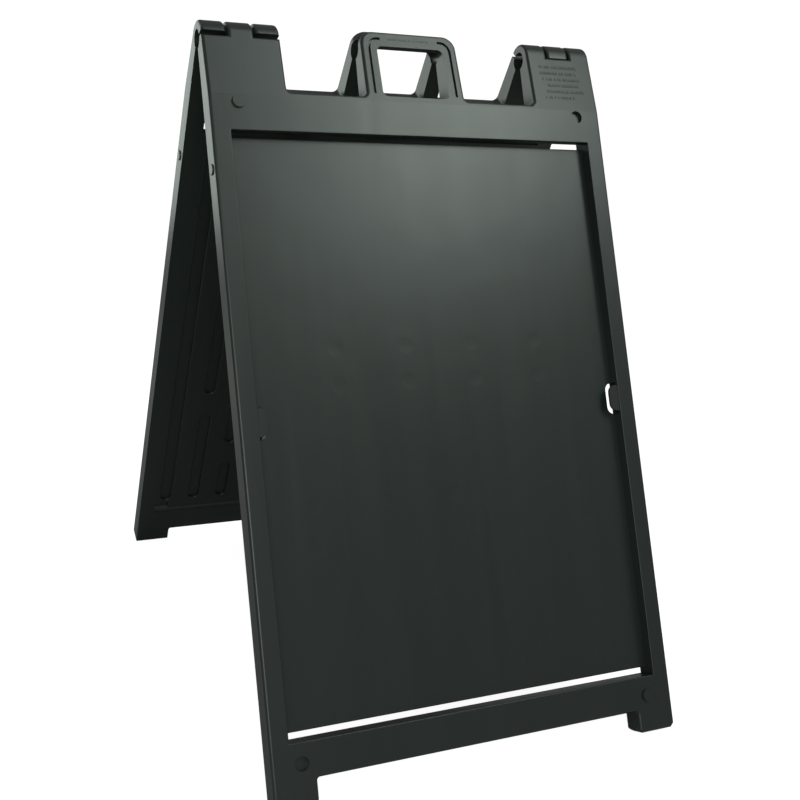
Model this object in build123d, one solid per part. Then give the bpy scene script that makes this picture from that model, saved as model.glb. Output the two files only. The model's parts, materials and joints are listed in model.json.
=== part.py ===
"""Folding sandwich board: two identical hollow HDPE halves, joined by two steel pins at the top."""
from build123d import *
import os
from math import cos, hypot, radians, sin, tan

# ---------------------------------------------------------------- driving dimensions, in mm
WIDTH = 676.0             # across the side rails
THICKNESS = 35.0          # of one half, outer face to inner face
SLOPE_LENGTH = 1126.0     # from the hinge axis down the slope to the feet
INNER_GAP = 2.0           # from the plane through the hinge axis to a half's inner face
HALF_ANGLE = 24.25        # lean of each half when the board stands open, in degrees
WALL = 2.8                # blow-moulded wall of rails, posts and legs

# heights down the slope, measured from the hinge axis
RAIL_TOP = 90.0           # upper edge of the top rail
LIP_EDGE = 152.0          # lower edge of the lip over the sign's upper edge
LEDGE = 1038.5            # shelf that the sign stands on
RAIL_BOTTOM = 1091.0      # lower edge of the bottom rail
SIDE_RAIL = 29.0          # face width of a side rail
LEG_WIDTH = 66.0
FOOT_FLAT = 10.0          # depth of the level flat under each foot

# sign recess and its backing board
RECESS_DEPTH = 20.0
BOARD_TOP = 158.0
BOARD_BOTTOM = 1027.0
POCKET_TOP = 124.0        # the sign slides up behind the lip to here
POCKET_DEPTH = 7.5
SLOT_TOP = 138.0          # the slot right through to the inner side starts here
BOARD_WALL = 2.3

# hinge posts and claws
POST_WIDTH = 122.0
CLAW_RADIUS = 27.8
CLAW_BORE = 14.5          # hollow under a claw
CLAW_LIP_ANGLE = 124.5    # how far an outer claw curls over, from its post's outer face
SEAT = 3.0                # top of a post, below the axis, where the other half's claws pass over
STOP_GAP = 0.4            # left between a middle claw's lip and that seat when open
OUTER_CLAW = 38.0         # width of each outer claw
MIDDLE_CLAW = 39.5
POST_CORNER = 9.0
CLAW_ROOT = 40.0
WEB = 8.0                 # thickness of each web that carries the pin
PIN_RADIUS = 4.0
PIN_CLEARANCE = 0.08      # radial, in the middle claw, which turns on the pin
PIN_INSET = 31.0          # from the post's side to the pin's end

# handle loop
CREASE = 97.0               # below the axis, where the face of posts and handle starts to slope back
HANDLE_BASE = 85.0        # half-width at the top rail
HANDLE_CREST = 83.0       # half-width at the bar
HANDLE_TOP = 21.5         # bar's upper edge, above the axis
HANDLE_CORNER = 22.0
HOLE_HALF = 57.5
HOLE_TOP = 3.3
HOLE_CORNER = 9.0
GROOVE_WIDTH = 4.5        # groove along the middle of the loop's face
GROOVE_DEPTH = 4.0
GROOVE_END = 50.0         # the groove stops here, where the bar's flat face begins
GRIP_BACK = 11.0          # back of the bar, out from the hinge plane
MEETING_GAP = 1.5         # between each half's handle and the upright plane between them

# small features
STUD_EDGE = 45.0          # stud and socket centres, in from the side
STUD_HEIGHTS = (108.0, 1068.0)
STUD_RADIUS = 10.0
STUD_RISE = 3.5
SOCKET_RADIUS = 10.5
SOCKET_DEPTH = 7.0
PLUG_HEIGHT = 208.0
PLUG_OUT = 19.0
PLUG_SHANK = 6.0
PLUG_HEAD = 8.5
PLUG_HEAD_RISE = 2.0
PLUG_DEPTH = 9.0
TAB_TOP, TAB_BOTTOM = 565.0, 607.0
TAB_REACH = {-1: 14.0, 1: 16.5}        # left and right retaining tabs, in from the recess wall
TAB_FRONT = 35.4
TAB_BACK = 31.0
TAB_CORNER = 12.0
WINDOW_TOP, WINDOW_BOTTOM = 559.0, 611.0
WINDOW_REACH = {-1: 16.0, 1: 11.5}
WINDOW_UNDERCUT = 8.0                  # how far a window runs on into its side rail
NOTCH_START = 281.0       # relief at each end of the board's lower slot, on its inner side
NOTCH_TOP = 1012.0
NOTCH_OUT = 9.0
SINK_RADIUS = 13.0        # dents left in the sign face over the channels' ends
SINK_DEPTH = 0.35
CHANNEL_WIDTH = 22.0
CHANNEL_PITCH = 57.6
CHANNEL_DEPTH = 5.0

OUTER_ROUND = 4.5         # round on the outer face's edges
RECESS_ROUND = 1.2
CHANNEL_ROUND = 1.8
CORNER_ROUND = 9.0        # fillet where posts and handle meet the top rail
LEG_CORNER = 4.5
FOOT_ROUND = 6.0

# ---------------------------------------------------------------- derived places
HALF = WIDTH / 2
FACE = INNER_GAP + THICKNESS              # outer face, out from the hinge plane
FLOOR = FACE - RECESS_DEPTH               # front face of the backing board
OPENING = HALF - SIDE_RAIL                # half-width of the sign recess
LEAN = radians(HALF_ANGLE)
FOLD = 2 * HALF_ANGLE
AXIS_HEIGHT = SLOPE_LENGTH * cos(LEAN) - (INNER_GAP + FOOT_FLAT) * sin(LEAN)
LANE_GAP = (POST_WIDTH - MIDDLE_CLAW) / 2


# ---------------------------------------------------------------- drawing helpers
# A half is drawn upright: X across, Z up the slope from the hinge axis, and -Y out of its outer face.
def front_view(x0, x1, down0, down1):
    """Rectangle seen from the front, from its sides and its distances down the slope."""
    return Pos((x0 + x1) / 2, -(down0 + down1) / 2) * Rectangle(x1 - x0, down1 - down0)


def press(sketch, out0, out1):
    """Solid of a front-view sketch between two distances out from the hinge plane."""
    return extrude(Plane.XZ.offset(out0) * sketch, out1 - out0)


def block(x0, x1, down0, down1, out0, out1):
    """Plain block from its six limits."""
    return press(front_view(x0, x1, down0, down1), out0, out1)


def lane(profile, x0, x1):
    """Solid of a side-view sketch between two places across the board."""
    return extrude(Plane.YZ.offset(x0) * profile, x1 - x0)


def side_polygon(points):
    """Side-view face from (out, down) corners."""
    return make_face(Polyline([(-out, -down) for out, down in points], close=True))


def drum(radius, x0, x1):
    """Solid cylinder on the hinge axis."""
    return lane(Circle(radius), x0, x1)


def boss(radius, x, down, out0, out1):
    """Round solid that stands out of the face."""
    return press(Pos(x, -down) * Circle(radius), out0, out1)


def side_round(radius, x0, x1, down, out):
    """Round solid that points across the board."""
    return lane(Pos(-out, -down) * Circle(radius), x0, x1)


# ---------------------------------------------------------------- one half: outer body
def handle_view():
    """Front view of the handle's rounded outline, without its hole."""
    points = [(-HANDLE_BASE, -RAIL_TOP), (HANDLE_BASE, -RAIL_TOP), (HANDLE_CREST, HANDLE_TOP),
              (-HANDLE_CREST, HANDLE_TOP)]
    shape = make_face(Polyline(points, close=True))
    return fillet(shape.vertices().group_by(Axis.Y)[-1], HANDLE_CORNER)


def outline():
    """Front view of rails, legs, posts and handle, with eased corners."""
    shape = front_view(-HALF, HALF, RAIL_TOP, RAIL_BOTTOM)
    for side in (-1, 1):
        x0, x1 = sorted((side * HALF, side * (HALF - LEG_WIDTH)))
        leg = front_view(x0, x1, RAIL_BOTTOM - 20, SLOPE_LENGTH)
        toes = leg.vertices().group_by(Axis.Y)[0].sort_by(lambda v: abs(v.X))
        leg = fillet(toes[0], FOOT_ROUND)
        leg = chamfer(leg.vertices().sort_by(lambda v: -abs(v.X) + v.Y * 10)[0], FOOT_ROUND)
        x0, x1 = sorted((side * HALF, side * (HALF - POST_WIDTH)))
        shape += leg + front_view(x0, x1, SEAT, RAIL_TOP)
    shape += handle_view()
    corners = {(HALF - LEG_WIDTH, RAIL_BOTTOM): LEG_CORNER, (HALF - POST_WIDTH, RAIL_TOP): CORNER_ROUND,
               (HANDLE_BASE, RAIL_TOP): CORNER_ROUND}
    for (x, down), radius in corners.items():
        pair = [v for v in shape.vertices() if abs(abs(v.X) - x) < 0.1 and abs(v.Y + down) < 0.1]
        shape = fillet(pair, radius)
    return shape


def claw_profile(is_middle):
    """Side view of a claw: its root on the post, and the hook that curls over the axis."""
    root = side_polygon([(INNER_GAP, CLAW_ROOT), (slope_face(CLAW_ROOT), CLAW_ROOT), (CLAW_RADIUS, 0),
                         (INNER_GAP, 0)])
    ring = Circle(CLAW_RADIUS)
    if is_middle:
        reach = SEAT - STOP_GAP + 50
        fold = radians(FOLD)
        below_seat = Pos(reach * sin(fold), -reach * cos(fold)) * Rot(0, 0, FOLD) * Rectangle(200, 100)
        ring = ring - Pos(0, -100) * Rectangle(200, 200) - below_seat
    else:
        lip = radians(CLAW_LIP_ANGLE)
        far = 3 * CLAW_RADIUS
        sector = [(0, 0)] + [(far * cos(lip * k / 3), -far * sin(lip * k / 3)) for k in range(4)]
        ring = ring & side_polygon(sector)
    return root + ring - Circle(CLAW_BORE)


def on_skin(edge):
    """Whether an edge follows the outside of a half: its face, the slope above it or a claw's curl."""
    def outside(point):
        out, down = -point.Y, -point.Z
        if down < 0.01 and hypot(out, down) > CLAW_RADIUS - 0.01:
            return True
        return down > -0.01 and abs(out - min(slope_face(down), FACE)) < 0.01

    return all(outside(edge @ t) for t in (0, 0.5, 1))


def claws(side, has_middle):
    """A post's claws: either one in the middle, or two outer ones with a window between them."""
    spans = ((0.0, OUTER_CLAW), (POST_WIDTH - OUTER_CLAW, POST_WIDTH))
    if has_middle:
        spans = ((LANE_GAP, POST_WIDTH - LANE_GAP),)
    solid = None
    for near, far in spans:
        x0, x1 = sorted((side * (HALF - near), side * (HALF - far)))
        claw = lane(claw_profile(has_middle), x0, x1)
        claw = fillet([e for e in claw.edges() if on_skin(e) and abs((e @ 0).X - (e @ 1).X) < 0.01],
                      OUTER_ROUND)
        solid = claw if solid is None else solid + claw
    x0, x1 = sorted((side * HALF, side * (HALF - POST_WIDTH)))
    view = front_view(x0, x1, -CLAW_RADIUS - 1, CLAW_ROOT + 1)
    crown = view.vertices().group_by(Axis.Y)[-1].sort_by(lambda v: -abs(v.X))[0]
    return solid & press(fillet(crown, POST_CORNER), -CLAW_RADIUS - 1, FACE + 1)


def webs(side, has_middle):
    """The walls inside the claws that hold the pin."""
    if has_middle:
        spans = ((POST_WIDTH / 2 - WEB, POST_WIDTH / 2 + WEB),)
        bore = PIN_RADIUS + PIN_CLEARANCE
    else:
        spans = ((OUTER_CLAW - WEB, OUTER_CLAW), (POST_WIDTH - OUTER_CLAW, POST_WIDTH - OUTER_CLAW + WEB))
        bore = PIN_RADIUS
    discs = []
    for near, far in spans:
        x0, x1 = sorted((side * (HALF - near), side * (HALF - far)))
        discs.append(drum(CLAW_BORE + 0.5, x0, x1) - drum(bore, x0 - 1, x1 + 1))
    return discs


def slope_face(down):
    """How far out the sloping face of posts and handle lies, at a height between axis and top rail."""
    return CLAW_RADIUS + (FACE - CLAW_RADIUS) * down / CREASE


def behind_face(behind=0.0):
    """Solid of everything behind the outer face, or that far behind it."""
    crest = -60.0
    profile = side_polygon([(-50, SLOPE_LENGTH + 10), (FACE - behind, SLOPE_LENGTH + 10),
                            (FACE - behind, CREASE), (slope_face(crest) - behind, crest), (-50, crest)])
    return lane(profile, -HALF - 1, HALF + 1)


def handle_space():
    """What is taken from the loop: its hole, the room behind its bar and beyond the meeting plane."""
    hole = front_view(-HOLE_HALF, HOLE_HALF, HOLE_TOP, RAIL_TOP - 1.5)
    space = press(fillet(hole.vertices(), HOLE_CORNER), -1, FACE + 1)
    space += block(-HOLE_HALF, HOLE_HALF, -HANDLE_TOP - 1, HOLE_TOP + 1, -1, GRIP_BACK)
    lift = MEETING_GAP / cos(LEAN)
    drift = 60 * tan(LEAN)
    beyond = side_polygon([(lift - drift, 60), (lift + drift, -60), (-80, -60), (-80, 60)])
    return space + lane(beyond, -HANDLE_BASE - 15, HANDLE_BASE + 15)


def handle_groove():
    """Groove along the middle of the loop's face, which stops either side of the bar."""
    middle = (HANDLE_BASE + HOLE_HALF) / 2
    crest = (HANDLE_TOP - HOLE_TOP) / 2
    bend = (HANDLE_CORNER + HOLE_CORNER) / 2
    path = FilletPolyline((middle, -RAIL_TOP + 6), (middle - 1.0, crest), (GROOVE_END, crest), radius=bend)
    right = trace(path, GROOVE_WIDTH)
    band = press(right, 0, FACE + 1) - behind_face(GROOVE_DEPTH)
    return band + mirror(band, Plane.YZ)


# ---------------------------------------------------------------- one half: openings and small features
def sign_recess():
    """Space for the sign: recess, pocket behind the lip, and the two slots through the board."""
    space = block(-OPENING, OPENING, LIP_EDGE, LEDGE, FLOOR, FACE + 1)
    space += block(-OPENING, OPENING, POCKET_TOP, BOARD_TOP, FLOOR, FLOOR + POCKET_DEPTH)
    space += block(-OPENING, OPENING, SLOT_TOP, BOARD_TOP, -1, FLOOR + POCKET_DEPTH)
    space += block(-OPENING, OPENING, LIP_EDGE, BOARD_TOP, -1, FACE + 1)
    space += block(-OPENING, OPENING, BOARD_BOTTOM, LEDGE, -1, FACE + 1)
    return space


def corner_notch(side, margin=0.0):
    """Relief in the inner side of the board, at one end of its lower slot."""
    x0, x1 = sorted((side * (OPENING + margin), side * (NOTCH_START - margin)))
    return block(x0, x1, NOTCH_TOP - margin, BOARD_BOTTOM + 1, -1, NOTCH_OUT + margin)


def sink_marks(has_windows):
    """Shallow dents in the sign face, over the ends of the channels behind it."""
    sphere_radius = (SINK_RADIUS ** 2 + SINK_DEPTH ** 2) / (2 * SINK_DEPTH)
    dents = []
    for x, top, bottom in channels(has_windows):
        for down in (top, bottom):
            if 200 < down < 990 and abs(x) < OPENING - 30:
                ball = Pos(x, -(FLOOR - SINK_DEPTH + sphere_radius), -down) * Sphere(sphere_radius)
                near = SINK_RADIUS + 2
                cell = block(x - near, x + near, down - near, down + near, FLOOR - 1, FLOOR + 0.2)
                dents.append(ball & cell)
    return dents


def d_shape(side, top, bottom, reach, corner, root=0.0):
    """Front view of a tongue that reaches in from a side rail, with two round corners."""
    x0, x1 = sorted((side * (OPENING + root), side * (OPENING - reach)))
    view = front_view(x0, x1, top, bottom)
    return fillet(view.vertices().sort_by(lambda v: abs(v.X))[:2], corner)


def tab(side):
    """Retaining tab that keeps the sign's side edge in its recess."""
    view = d_shape(side, TAB_TOP, TAB_BOTTOM, TAB_REACH[side], TAB_CORNER, root=5)
    return press(view, TAB_BACK, TAB_FRONT)


def window(side, margin=0.0):
    """Hole through the board behind a tab, which runs on under the side rail's edge."""
    view = d_shape(side, WINDOW_TOP - margin, WINDOW_BOTTOM + margin, WINDOW_REACH[side] + margin,
                   TAB_CORNER, root=WINDOW_UNDERCUT + margin)
    return press(view, -1, TAB_BACK + margin)


def channels(has_windows):
    """Long slots pressed into the inner face, which stiffen the board: (x, top, bottom)."""
    staggered = {0: ((190.0, 480.0), (536.0, 851.0), (907.0, 1003.0)),
                 1: ((190.0, 716.0), (772.0, 1003.0))}
    outermost = ((190.0, 545.0), (627.0, 1003.0)) if has_windows else ((190.0, 1003.0),)
    places = []
    for index in range(-5, 6):
        spans = outermost if abs(index) == 5 else staggered[(index + 1) % 2]
        places += [(index * CHANNEL_PITCH, top, bottom) for top, bottom in spans]
    return places


def channel(x, top, bottom, width, depth):
    """One channel, open to the inner side, with round ends."""
    length = bottom - top + width - CHANNEL_WIDTH
    view = Pos(x, -(top + bottom) / 2) * Rot(0, 0, 90) * SlotOverall(length, width)
    return press(view, -1, INNER_GAP + depth)


def cavity(has_windows):
    """The hollow inside one half."""
    out0, out1 = INNER_GAP + WALL, FACE - WALL
    rail = HALF - WALL
    hollow = block(-rail, rail, RAIL_TOP + WALL, POCKET_TOP - WALL, out0, out1)
    hollow += block(-rail, rail, LEDGE + WALL, RAIL_BOTTOM - WALL, out0, out1)
    for side in (-1, 1):
        x0, x1 = sorted((side * rail, side * (OPENING + WALL)))
        hollow += block(x0, x1, RAIL_TOP + WALL, RAIL_BOTTOM - WALL, out0, out1)
        x0, x1 = sorted((side * rail, side * (HALF - LEG_WIDTH + WALL)))
        hollow += block(x0, x1, RAIL_BOTTOM - 10, SLOPE_LENGTH - 12, out0, out1)
        x0, x1 = sorted((side * rail, side * (HALF - POST_WIDTH + WALL)))
        upper = block(x0, x1, CLAW_RADIUS + WALL, RAIL_TOP + 10, out0, out1)
        hollow += upper & behind_face(WALL)
    skin = block(-OPENING + BOARD_WALL, OPENING - BOARD_WALL, BOARD_TOP + BOARD_WALL,
                 BOARD_BOTTOM - BOARD_WALL, INNER_GAP + BOARD_WALL, FLOOR - BOARD_WALL)
    skin -= corner_notch(-1, BOARD_WALL) + corner_notch(1, BOARD_WALL)
    if has_windows:
        skin -= window(-1, BOARD_WALL) + window(1, BOARD_WALL)
    for x, top, bottom in channels(has_windows):
        skin -= channel(x, top, bottom, CHANNEL_WIDTH + 2 * BOARD_WALL, CHANNEL_DEPTH + BOARD_WALL)
    for side in (-1, 1):
        for down in STUD_HEIGHTS:
            hollow -= boss(SOCKET_RADIUS + WALL, side * (HALF - STUD_EDGE), down,
                           FACE - SOCKET_DEPTH - WALL, FACE)
        x0, x1 = sorted((side * HALF, side * (HALF - PLUG_DEPTH - WALL)))
        hollow -= side_round(PLUG_SHANK + WALL, x0, x1, PLUG_HEIGHT, PLUG_OUT)
        if has_windows:
            hollow -= window(side, WALL)
    return hollow + skin


def studs_and_sockets(body):
    """Raised studs and matching sockets on the face, which locate stacked boards."""
    for side in (-1, 1):
        for down in STUD_HEIGHTS:
            x = side * (HALF - STUD_EDGE)
            if (side < 0) == (down == STUD_HEIGHTS[0]):
                body += boss(STUD_RADIUS, x, down, FACE - 1, FACE + STUD_RISE)
            else:
                body -= boss(SOCKET_RADIUS, x, down, FACE - SOCKET_DEPTH, FACE + 1)
    return body


def soft_body():
    """The full outline pressed out to the face, with the edges that a hand meets rounded."""
    body = press(outline(), INNER_GAP, FACE) & behind_face()
    return fillet([e for e in body.edges() if on_skin(e) and abs((e @ 0.5).Z + CREASE) > 0.1], OUTER_ROUND)


def eased(body):
    """Ease the edges of the sign recess and of the channels on the inner side."""
    def flat(edge, out):
        return all(abs((edge @ t).Y + out) < 1e-3 for t in (0, 0.5, 1))

    def about_recess(centre):
        return abs(centre.X) < OPENING + 0.1 and -LEDGE - 0.1 < centre.Z < -POCKET_TOP

    recess = [e for e in body.edges() if flat(e, FACE) and about_recess(e @ 0.5)]
    body = fillet(recess, RECESS_ROUND)
    back = [e for e in body.edges() if flat(e, INNER_GAP)]
    slots = [e for e in back if abs((e @ 0.5).X) < OPENING - 25 and -1004 < (e @ 0.5).Z < -185]
    return fillet(slots, CHANNEL_ROUND)


def half_frame(has_windows):
    """One moulded half, upright, with its hinge axis on X."""
    body = soft_body()
    body -= drum(CLAW_BORE + 1.5, -HALF, HALF)
    body += claws(-1, True) + claws(1, False)
    body -= handle_space()
    body -= handle_groove()
    body -= sign_recess()
    for side in (-1, 1):
        body -= corner_notch(side)
        if has_windows:
            body -= window(side)
        body += tab(side)
        x0, x1 = sorted((side * (HALF - PLUG_DEPTH), side * (HALF + 1)))
        body -= side_round(PLUG_SHANK, x0, x1, PLUG_HEIGHT, PLUG_OUT)
    for x, top, bottom in channels(has_windows):
        body -= channel(x, top, bottom, CHANNEL_WIDTH, CHANNEL_DEPTH)
    body = eased(body)
    for dent in sink_marks(has_windows):
        body -= dent
    body = studs_and_sockets(body)
    body -= cavity(has_windows)
    for disc in webs(-1, True) + webs(1, False):
        body += disc
    return body


# ---------------------------------------------------------------- loose pieces, beside the same half
def hinge_pin():
    """Headless steel pin of the right-hand post."""
    pin = drum(PIN_RADIUS, HALF - POST_WIDTH + PIN_INSET, HALF - PIN_INSET)
    return chamfer(pin.edges().filter_by(GeomType.CIRCLE), 0.6)


def plug(side):
    """Domed snap-in plug that closes the moulding's side opening."""
    x0, x1 = sorted((side * (HALF - PLUG_DEPTH), side * HALF))
    shank = side_round(PLUG_SHANK, x0, x1, PLUG_HEIGHT, PLUG_OUT)
    x0, x1 = sorted((side * HALF, side * (HALF + PLUG_HEAD_RISE)))
    head = side_round(PLUG_HEAD, x0, x1, PLUG_HEIGHT, PLUG_OUT)
    rim = head.edges().filter_by(GeomType.CIRCLE).sort_by(lambda e: -abs(e.center().X))[0]
    return shank + fillet(rim, PLUG_HEAD_RISE * 0.8)


# ---------------------------------------------------------------- assembly
def stand(solid):
    """Lean an upright front-half piece into place, with the floor at Z = 0."""
    return Pos(0, 0, AXIS_HEIGHT) * Rot(-HALF_ANGLE, 0, 0) * solid


def turned(solid):
    """The same piece on the rear half: half a turn about the upright axis."""
    return Rot(0, 0, 180) * solid


def main():
    """Write one STEP file for each sub-part."""
    os.makedirs("parts", exist_ok=True)
    ground = Pos(0, 0, -50) * Box(2 * WIDTH, 4 * WIDTH, 100)
    front = stand(half_frame(has_windows=True)) - ground
    rear = turned(stand(half_frame(has_windows=False)) - ground)
    nodes = {"front_frame": front, "rear_frame": rear}
    pin = stand(hinge_pin())
    nodes["right_hinge_pin"] = pin
    nodes["left_hinge_pin"] = turned(pin)
    for side, name, opposite in ((-1, "left", "right"), (1, "right", "left")):
        piece = stand(plug(side))
        nodes[f"front_{name}_plug"] = piece
        nodes[f"rear_{opposite}_plug"] = turned(piece)
    for name, solid in nodes.items():
        export_step(solid, f"parts/{name}.step")
        print(f"{name}: {len(solid.solids())} solid, {solid.volume / 1000:.1f} cm3")


if __name__ == "__main__":
    main()
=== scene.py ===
"""Studio scene of a folding sandwich board: finishes, small pieces, floor, lights and camera."""

import json
import logging
import math
import random
from dataclasses import dataclass, field
from enum import Enum

import bmesh
import bpy
from mathutils import Matrix, Vector


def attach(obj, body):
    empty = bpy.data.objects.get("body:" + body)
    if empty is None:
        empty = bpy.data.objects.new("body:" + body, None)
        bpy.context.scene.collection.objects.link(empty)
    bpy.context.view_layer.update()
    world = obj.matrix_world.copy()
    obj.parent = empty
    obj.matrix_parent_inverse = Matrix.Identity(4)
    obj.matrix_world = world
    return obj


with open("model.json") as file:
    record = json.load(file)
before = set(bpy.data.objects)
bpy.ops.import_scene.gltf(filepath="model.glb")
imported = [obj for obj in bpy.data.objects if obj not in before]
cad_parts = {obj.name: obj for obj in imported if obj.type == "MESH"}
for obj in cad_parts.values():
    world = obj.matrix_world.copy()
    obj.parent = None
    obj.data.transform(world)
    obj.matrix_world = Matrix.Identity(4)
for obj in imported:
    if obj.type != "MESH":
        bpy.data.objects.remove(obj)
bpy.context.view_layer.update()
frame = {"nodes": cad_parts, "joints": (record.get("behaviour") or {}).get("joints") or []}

LOG = logging.getLogger("sandwich_board")
MM = 0.001
HALF_ANGLE = math.radians(24.25)

# The sloping face of posts and handle, in millimetres from the hinge axis and down the slope.
CREST_OUT = 27.8
FACE_OUT = 37.0
CREASE_DOWN = 97.0
POST_FACE_TILT = math.atan((FACE_OUT - CREST_OUT) / CREASE_DOWN)

# Rows of marks: first and last millimetre across, and how far down from the hinge axis.
POST_ROWS = (
    (236.0, 316.0, 20.0),
    (236.0, 311.0, 31.0),
    (239.0, 314.0, 42.0),
    (248.0, 309.0, 53.0),
    (244.0, 318.0, 64.0),
    (240.0, 300.0, 75.0),
)
HANDLE_ROW = ((-36.0, 36.0, -9.2),)

# The studio: a faintly green tube light, a room that looks white, and a floor that stays near white.
TUBE_COLOUR = "#F2FFF7"
WHITE = (1.0, 1.0, 1.0, 1.0)
WORLD_SEEN = 1.05
WORLD_LIGHT = 0.27
FLOOR_COLOUR = "#B4B4B2"
FLOOR_ROUGHNESS = 0.9
FLOOR_GLOW = 0.9


def linear(hex_colour: str, alpha: float = 1.0) -> tuple[float, float, float, float]:
    """Turn an sRGB hex colour into the linear values that shaders take.

    Args:
        hex_colour: Six hex digits after a hash sign.
        alpha: Opacity to add as the fourth value.

    Returns:
        Linear red, green, blue and alpha.
    """
    channels = [int(hex_colour[i : i + 2], 16) / 255 for i in (1, 3, 5)]
    straight = [c / 12.92 if c <= 0.04045 else ((c + 0.055) / 1.055) ** 2.4 for c in channels]
    return (*straight, alpha)


def add_node(
    tree: bpy.types.NodeTree,
    kind: str,
    settings: dict | None = None,
    sockets: dict | None = None,
    links: dict | None = None,
) -> bpy.types.Node:
    """Add one node with its settings, input values and incoming links.

    Args:
        tree: Node tree that takes the node.
        kind: Blender's type name of the node.
        settings: Attributes to set on the node.
        sockets: Input values, by input name or index.
        links: Output sockets to join, by the input name or index that takes them.

    Returns:
        The new node.
    """
    node = tree.nodes.new(kind)
    for name, value in (settings or {}).items():
        setattr(node, name, value)
    for name, value in (sockets or {}).items():
        node.inputs[name].default_value = value
    for name, output in (links or {}).items():
        tree.links.new(output, node.inputs[name])
    return node


class Lean(Enum):
    """Which way a half leans, as the sign of its outer face's Y direction."""

    FRONT = -1
    REAR = 1


@dataclass(frozen=True)
class MouldedPolythene:
    """Black HDPE, blow moulded against a sand-blasted tool: satin, slightly wavy, with faint flow lines,
    lightened in colour as a painted sheen.
    """

    name: str = "blow_moulded_hdpe"
    colour: str = "#1A201E"
    # Lighter colour mixed into the flow stripes: a painted sheen.
    painted_sheen_colour: str = "#252C29"
    roughness: float = 0.35
    ior: float = 1.50
    grain_pitch_mm: float = 1.4
    wave_pitch_mm: float = 75.0
    flow_pitch_mm: float = 34.0
    flow_stretch: float = 0.06
    roughness_swing: float = 0.035
    # Largest share of the painted sheen colour that the flow stripes take.
    painted_sheen_most: float = 0.3
    wave_depth: float = 0.8 * MM
    grain_depth: float = 0.1 * MM

    def build(self, lean: Lean, angle: float) -> bpy.types.Material:
        """Make the material for one half.

        Args:
            lean: The half that the flow lines run down.
            angle: The half's angle from upright, in radians.

        Returns:
            The finished material.
        """
        material = bpy.data.materials.new(f"{self.name}_{lean.name.lower()}")
        material.use_nodes = True
        tree = material.node_tree
        tree.nodes.clear()
        place = add_node(tree, "ShaderNodeTexCoord").outputs["Object"]
        along = add_node(
            tree,
            "ShaderNodeMapping",
            sockets={"Rotation": (lean.value * -angle, 0.0, 0.0)},
            links={"Vector": place},
        )
        per_metre = 1.0 / (self.flow_pitch_mm * MM)
        drawn = add_node(
            tree,
            "ShaderNodeMapping",
            sockets={"Scale": (per_metre, per_metre, per_metre * self.flow_stretch)},
            links={"Vector": along.outputs["Vector"]},
        )
        # The flow lines give long, faint, uneven stripes down the board: real sheen from the roughness they
        # vary, and painted sheen from the lighter colour they mix in.
        flow = add_node(
            tree,
            "ShaderNodeTexNoise",
            sockets={"Scale": 1.0, "Detail": 4.0, "Roughness": 0.6, "Distortion": 0.4},
            links={"Vector": drawn.outputs["Vector"]},
        )
        # The grain gives the sparkle-free satin of a blasted tool.
        grain = add_node(
            tree,
            "ShaderNodeTexNoise",
            sockets={"Scale": 1.0 / (self.grain_pitch_mm * MM), "Detail": 2.0},
            links={"Vector": place},
        )
        # The waves give the soft dents of a thin wall that shrank as it cooled.
        waves = add_node(
            tree,
            "ShaderNodeTexNoise",
            sockets={"Scale": 1.0 / (self.wave_pitch_mm * MM), "Detail": 1.0},
            links={"Vector": place},
        )
        wave_bump = add_node(
            tree,
            "ShaderNodeBump",
            sockets={"Strength": 0.5, "Distance": self.wave_depth},
            links={"Height": waves.outputs["Fac"]},
        )
        grain_bump = add_node(
            tree,
            "ShaderNodeBump",
            sockets={"Strength": 0.3, "Distance": self.grain_depth},
            links={"Height": grain.outputs["Fac"], "Normal": wave_bump.outputs["Normal"]},
        )
        rough = add_node(
            tree,
            "ShaderNodeMapRange",
            sockets={
                "To Min": self.roughness - self.roughness_swing,
                "To Max": self.roughness + self.roughness_swing,
            },
            links={"Value": flow.outputs["Fac"]},
        )
        # Painted sheen: the flow stripes are lightened in colour, up to the painted sheen share.
        painted_sheen_mask = add_node(
            tree,
            "ShaderNodeMapRange",
            sockets={"From Min": 0.35, "From Max": 0.8, "To Min": 0.0, "To Max": self.painted_sheen_most},
            links={"Value": flow.outputs["Fac"]},
        )
        tint = add_node(
            tree,
            "ShaderNodeMix",
            {"data_type": "RGBA"},
            {6: linear(self.colour), 7: linear(self.painted_sheen_colour)},
            {0: painted_sheen_mask.outputs["Result"]},
        )
        shader = add_node(
            tree,
            "ShaderNodeBsdfPrincipled",
            sockets={"IOR": self.ior},
            links={
                "Base Color": tint.outputs[2],
                "Roughness": rough.outputs["Result"],
                "Normal": grain_bump.outputs["Normal"],
            },
        )
        add_node(tree, "ShaderNodeOutputMaterial", links={"Surface": shader.outputs["BSDF"]})
        return material


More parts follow.
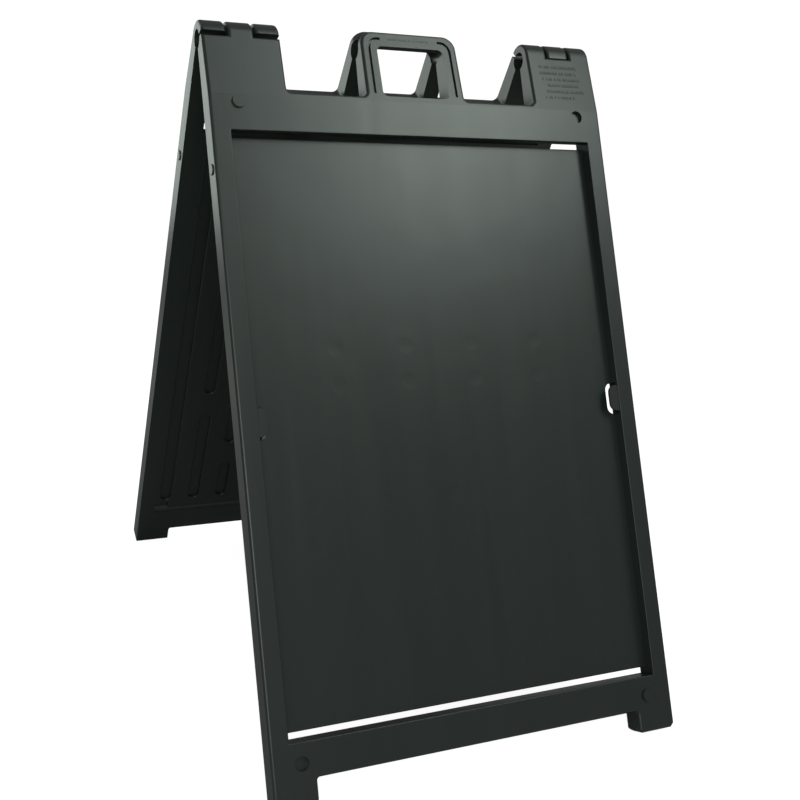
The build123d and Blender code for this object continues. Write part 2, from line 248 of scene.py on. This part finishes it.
@dataclass(frozen=True)
class InjectedPolythene:
    """Black LDPE of the snap-in plugs: smoother and a little glossier than the moulding."""

    name: str = "injected_ldpe"
    colour: str = "#171A19"
    roughness: float = 0.32
    ior: float = 1.51
    scuff_pitch_mm: float = 3.0
    smoothest: float = -0.06
    dullest: float = 0.12

    def build(self) -> bpy.types.Material:
        """Make the plug material.

        Returns:
            The finished material.
        """
        material = bpy.data.materials.new(self.name)
        material.use_nodes = True
        tree = material.node_tree
        tree.nodes.clear()
        place = add_node(tree, "ShaderNodeTexCoord").outputs["Object"]
        # The scuffs give the eye a dull patch here and there where a thumb pressed the plug home.
        scuffs = add_node(
            tree,
            "ShaderNodeTexNoise",
            sockets={"Scale": 1.0 / (self.scuff_pitch_mm * MM), "Detail": 3.0},
            links={"Vector": place},
        )
        rough = add_node(
            tree,
            "ShaderNodeMapRange",
            sockets={"To Min": self.roughness + self.smoothest, "To Max": self.roughness + self.dullest},
            links={"Value": scuffs.outputs["Fac"]},
        )
        shader = add_node(
            tree,
            "ShaderNodeBsdfPrincipled",
            sockets={"Base Color": linear(self.colour), "IOR": self.ior},
            links={"Roughness": rough.outputs["Result"]},
        )
        add_node(tree, "ShaderNodeOutputMaterial", links={"Surface": shader.outputs["BSDF"]})
        return material


@dataclass(frozen=True)
class ZincSteel:
    """Drawn steel rod with bright zinc plating."""

    name: str = "zinc_plated_steel"
    colour: str = "#B9BCBE"
    roughness: float = 0.34
    draw_pitch_mm: float = 0.5
    draw_stretch: float = 0.03
    smoothest: float = -0.08
    dullest: float = 0.10

    def build(self) -> bpy.types.Material:
        """Make the pin material.

        Returns:
            The finished material.
        """
        material = bpy.data.materials.new(self.name)
        material.use_nodes = True
        tree = material.node_tree
        tree.nodes.clear()
        place = add_node(tree, "ShaderNodeTexCoord").outputs["Object"]
        pitch = 1.0 / (self.draw_pitch_mm * MM)
        drawn = add_node(
            tree,
            "ShaderNodeMapping",
            sockets={"Scale": (pitch * self.draw_stretch, pitch, pitch)},
            links={"Vector": place},
        )
        # The die marks give the rod its fine lines along its length.
        marks = add_node(
            tree,
            "ShaderNodeTexNoise",
            sockets={"Scale": 1.0},
            links={"Vector": drawn.outputs["Vector"]},
        )
        rough = add_node(
            tree,
            "ShaderNodeMapRange",
            sockets={"To Min": self.roughness + self.smoothest, "To Max": self.roughness + self.dullest},
            links={"Value": marks.outputs["Fac"]},
        )
        shader = add_node(
            tree,
            "ShaderNodeBsdfPrincipled",
            sockets={"Base Color": linear(self.colour), "Metallic": 1.0},
            links={"Roughness": rough.outputs["Result"]},
        )
        add_node(tree, "ShaderNodeOutputMaterial", links={"Surface": shader.outputs["BSDF"]})
        return material


@dataclass(frozen=True)
class Softbox:
    """One rectangular studio light."""

    name: str
    place: tuple[float, float, float]
    size: tuple[float, float]
    power: float


SOFTBOXES = (
    Softbox("key_softbox", (1.4, -1.9, 2.9), (0.9, 0.9), 29.0),
    Softbox("top_softbox", (1.2, -1.1, 3.7), (1.2, 1.0), 18.0),
    Softbox("fill_softbox", (-1.5, -3.2, 1.7), (1.8, 1.8), 48.0),
    Softbox("edge_softbox", (-1.3, 2.2, 1.1), (1.2, 1.5), 13.0),
)


@dataclass(frozen=True)
class HalfPlace:
    """Where one half stands: across, outwards from the hinge axis and down its slope, in millimetres."""

    lean: Lean
    hinge_height: float
    angle: float

    def matrix(self) -> Matrix:
        """Turn the half's own millimetres into the scene's metres.

        Returns:
            The transform of a point given as (across, -outwards, -down).
        """
        turn = Matrix.Identity(4) if self.lean is Lean.FRONT else Matrix.Rotation(math.pi, 4, "Z")
        lift = Matrix.Translation((0.0, 0.0, self.hinge_height))
        return lift @ turn @ Matrix.Rotation(-self.angle, 4, "X") @ Matrix.Scale(MM, 4)


@dataclass
class RaisedMarks:
    """Rows of short raised dashes, where a maker's lettering would stand on the moulding."""

    name: str
    place: HalfPlace
    rows: tuple[tuple[float, float, float], ...]
    out: float = CREST_OUT
    lean_back: float = POST_FACE_TILT
    height: float = 4.8
    relief: float = 0.7
    sunk: float = 0.5
    edge_round: float = 0.28
    lengths: tuple[float, ...] = (1.8, 2.6, 3.4)
    gap: float = 1.7
    word_gap: float = 4.5
    gaps_per_word: int = 3
    seed: int = 4

    def dashes(self) -> list[tuple[float, float, float]]:
        """Lay the dashes out along the rows.

        Returns:
            Middle, height and length of each dash, on the face, in millimetres.
        """
        pick = random.Random(self.seed)
        spaces = (self.gap,) * self.gaps_per_word + (self.word_gap,)
        shortest_row_end = 3.0
        laid = []
        for start, end, down in self.rows:
            across = start
            while across < end - shortest_row_end:
                length = min(pick.choice(self.lengths), end - across)
                laid.append((across + length / 2, down, length))
                across += length + pick.choice(spaces)
        return laid

    def build(self, material: bpy.types.Material) -> bpy.types.Object:
        """Make the dashes as one piece that moves with its half.

        Args:
            material: The moulding's own material.

        Returns:
            The piece.
        """
        shape = bmesh.new()
        tilt = Matrix.Rotation(-self.lean_back, 4, "X")
        for across, down, length in self.dashes():
            block = bmesh.ops.create_cube(shape, size=1.0)["verts"]
            bmesh.ops.scale(shape, vec=(length, self.relief + self.sunk, self.height), verts=block)
            shift = Vector((across, -(self.relief - self.sunk) / 2, -down))
            bmesh.ops.translate(shape, vec=shift, verts=block)
        bmesh.ops.bevel(
            shape,
            geom=shape.edges[:],
            offset=self.edge_round,
            affect="EDGES",
            segments=2,
            profile=0.5,
            material=-1,
        )
        bmesh.ops.transform(shape, matrix=tilt, verts=shape.verts)
        bmesh.ops.translate(shape, vec=(0.0, -self.out, 0.0), verts=shape.verts)
        bmesh.ops.transform(shape, matrix=self.place.matrix(), verts=shape.verts)
        return finish_piece(self.name, shape, material, self.place.lean)


def finish_piece(
    name: str, shape: bmesh.types.BMesh, material: bpy.types.Material, lean: Lean
) -> bpy.types.Object:
    """Turn a shape into a piece that belongs to one half.

    Args:
        name: Name of the piece.
        shape: Its finished mesh, which is freed.
        material: What it is made of.
        lean: The half it moves with.

    Returns:
        The piece.
    """
    mesh = bpy.data.meshes.new(name)
    shape.to_mesh(mesh)
    shape.free()
    mesh.materials.append(material)
    piece = bpy.data.objects.new(name, mesh)
    bpy.context.scene.collection.objects.link(piece)
    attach(piece, "front_half" if lean is Lean.FRONT else "rear_half")
    LOG.info("built %s with %d faces", name, len(mesh.polygons))
    return piece


@dataclass
class Studio:
    """Pale floor, soft lights and the camera, placed from the board's size."""

    hinge_height: float
    eye: Vector = field(default_factory=lambda: Vector((-0.7747, -1.7488, -0.004)))
    azimuth: float = math.radians(-24.94)
    elevation: float = math.radians(16.92)
    roll: float = math.radians(3.96)
    lens_ratio: float = 1129 / 800
    sensor_mm: float = 36.0

    def aim_camera(self) -> bpy.types.Object:
        """Stand the camera at eye height with the hinge, looking down at the board.

        Returns:
            The camera object.
        """
        back = Vector(
            (
                math.sin(self.azimuth) * math.cos(self.elevation),
                -math.cos(self.azimuth) * math.cos(self.elevation),
                math.sin(self.elevation),
            )
        )
        right = Vector((0, 0, 1)).cross(back).normalized()
        up = back.cross(right)
        turn = Matrix((right, up, back)).transposed().to_4x4()
        turn @= Matrix.Rotation(self.roll, 4, "Z")
        data = bpy.data.cameras.new("studio_camera")
        data.sensor_width = self.sensor_mm
        data.lens = self.sensor_mm * self.lens_ratio
        data.clip_end = 60.0
        camera = bpy.data.objects.new("studio_camera", data)
        bpy.context.scene.collection.objects.link(camera)
        place = self.eye + Vector((0, 0, self.hinge_height))
        camera.matrix_world = Matrix.Translation(place) @ turn
        bpy.context.scene.camera = camera
        return camera

    def hang(self, box: Softbox, target: Vector) -> bpy.types.Object:
        """Hang one softbox.

        Args:
            box: The light's place, size and power.
            target: What it points at.

        Returns:
            The light object.
        """
        data = bpy.data.lights.new(box.name, "AREA")
        data.shape = "RECTANGLE"
        data.size, data.size_y = box.size
        data.energy = box.power
        data.color = linear(TUBE_COLOUR)[:3]
        light = bpy.data.objects.new(box.name, data)
        light.location = box.place
        light.rotation_euler = (target - light.location).to_track_quat("-Z", "Y").to_euler()
        bpy.context.scene.collection.objects.link(light)
        LOG.info("hung %s", box.name)
        return light

    def light(self) -> None:
        """Set the white surroundings and the softboxes."""
        world = bpy.data.worlds.new("white_room")
        bpy.context.scene.world = world
        world.use_nodes = True
        tree = world.node_tree
        tree.nodes.clear()
        path = add_node(tree, "ShaderNodeLightPath")
        seen = add_node(tree, "ShaderNodeBackground", sockets={"Color": WHITE, "Strength": WORLD_SEEN})
        lit = add_node(tree, "ShaderNodeBackground", sockets={"Color": WHITE, "Strength": WORLD_LIGHT})
        mix = add_node(
            tree,
            "ShaderNodeMixShader",
            links={0: path.outputs["Is Camera Ray"], 1: lit.outputs[0], 2: seen.outputs[0]},
        )
        add_node(tree, "ShaderNodeOutputWorld", links={"Surface": mix.outputs[0]})
        for box in SOFTBOXES:
            self.hang(box, Vector((0.0, 0.0, self.hinge_height / 2)))
        bpy.context.scene.view_settings.view_transform = "Standard"

    def lay_floor(self, half_size: float = 12.0) -> bpy.types.Object:
        """Lay a plain pale floor.

        Args:
            half_size: Half the floor's width, in metres.

        Returns:
            The floor object.
        """
        shape = bmesh.new()
        bmesh.ops.create_grid(shape, x_segments=1, y_segments=1, size=half_size)
        mesh = bpy.data.meshes.new("floor")
        shape.to_mesh(mesh)
        shape.free()
        floor = bpy.data.objects.new("floor", mesh)
        bpy.context.scene.collection.objects.link(floor)
        material = bpy.data.materials.new("pale_floor")
        material.use_nodes = True
        tree = material.node_tree
        shader = tree.nodes["Principled BSDF"]
        shader.inputs["Base Color"].default_value = linear(FLOOR_COLOUR)
        shader.inputs["Roughness"].default_value = FLOOR_ROUGHNESS
        shader.inputs["Emission Color"].default_value = WHITE
        path = add_node(tree, "ShaderNodeLightPath")
        glow = add_node(
            tree,
            "ShaderNodeMath",
            {"operation": "MULTIPLY"},
            {1: FLOOR_GLOW},
            {0: path.outputs["Is Camera Ray"]},
        )
        tree.links.new(glow.outputs[0], shader.inputs["Emission Strength"])
        mesh.materials.append(material)
        return floor


def dress(node: bpy.types.Object, material: bpy.types.Material) -> None:
    """Give an object one material in place of those it has."""
    node.data.materials.clear()
    node.data.materials.append(material)


def main() -> None:
    """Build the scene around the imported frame."""
    logging.basicConfig(level=logging.INFO, format="%(name)s: %(message)s")
    height = frame["joints"][0]["pos_m"][2]
    finishes = {
        "front_frame": MouldedPolythene().build(Lean.FRONT, HALF_ANGLE),
        "rear_frame": MouldedPolythene().build(Lean.REAR, HALF_ANGLE),
        "hinge_pin": ZincSteel().build(),
        "plug": InjectedPolythene().build(),
    }
    for name, node in frame["nodes"].items():
        for part, material in finishes.items():
            if name.endswith(part):
                dress(node, material)
                LOG.info("dressed %s in %s", name, material.name)
    for lean, half in ((Lean.FRONT, "front"), (Lean.REAR, "rear")):
        place = HalfPlace(lean, height, HALF_ANGLE)
        black = finishes[f"{half}_frame"]
        RaisedMarks(f"{half}_post_marks", place, POST_ROWS).build(black)
        RaisedMarks(f"{half}_handle_marks", place, HANDLE_ROW, height=3.0, relief=0.5, seed=9).build(black)
    studio = Studio(hinge_height=height)
    studio.aim_camera()
    studio.light()
    studio.lay_floor()


if __name__ == "__main__":
    main()
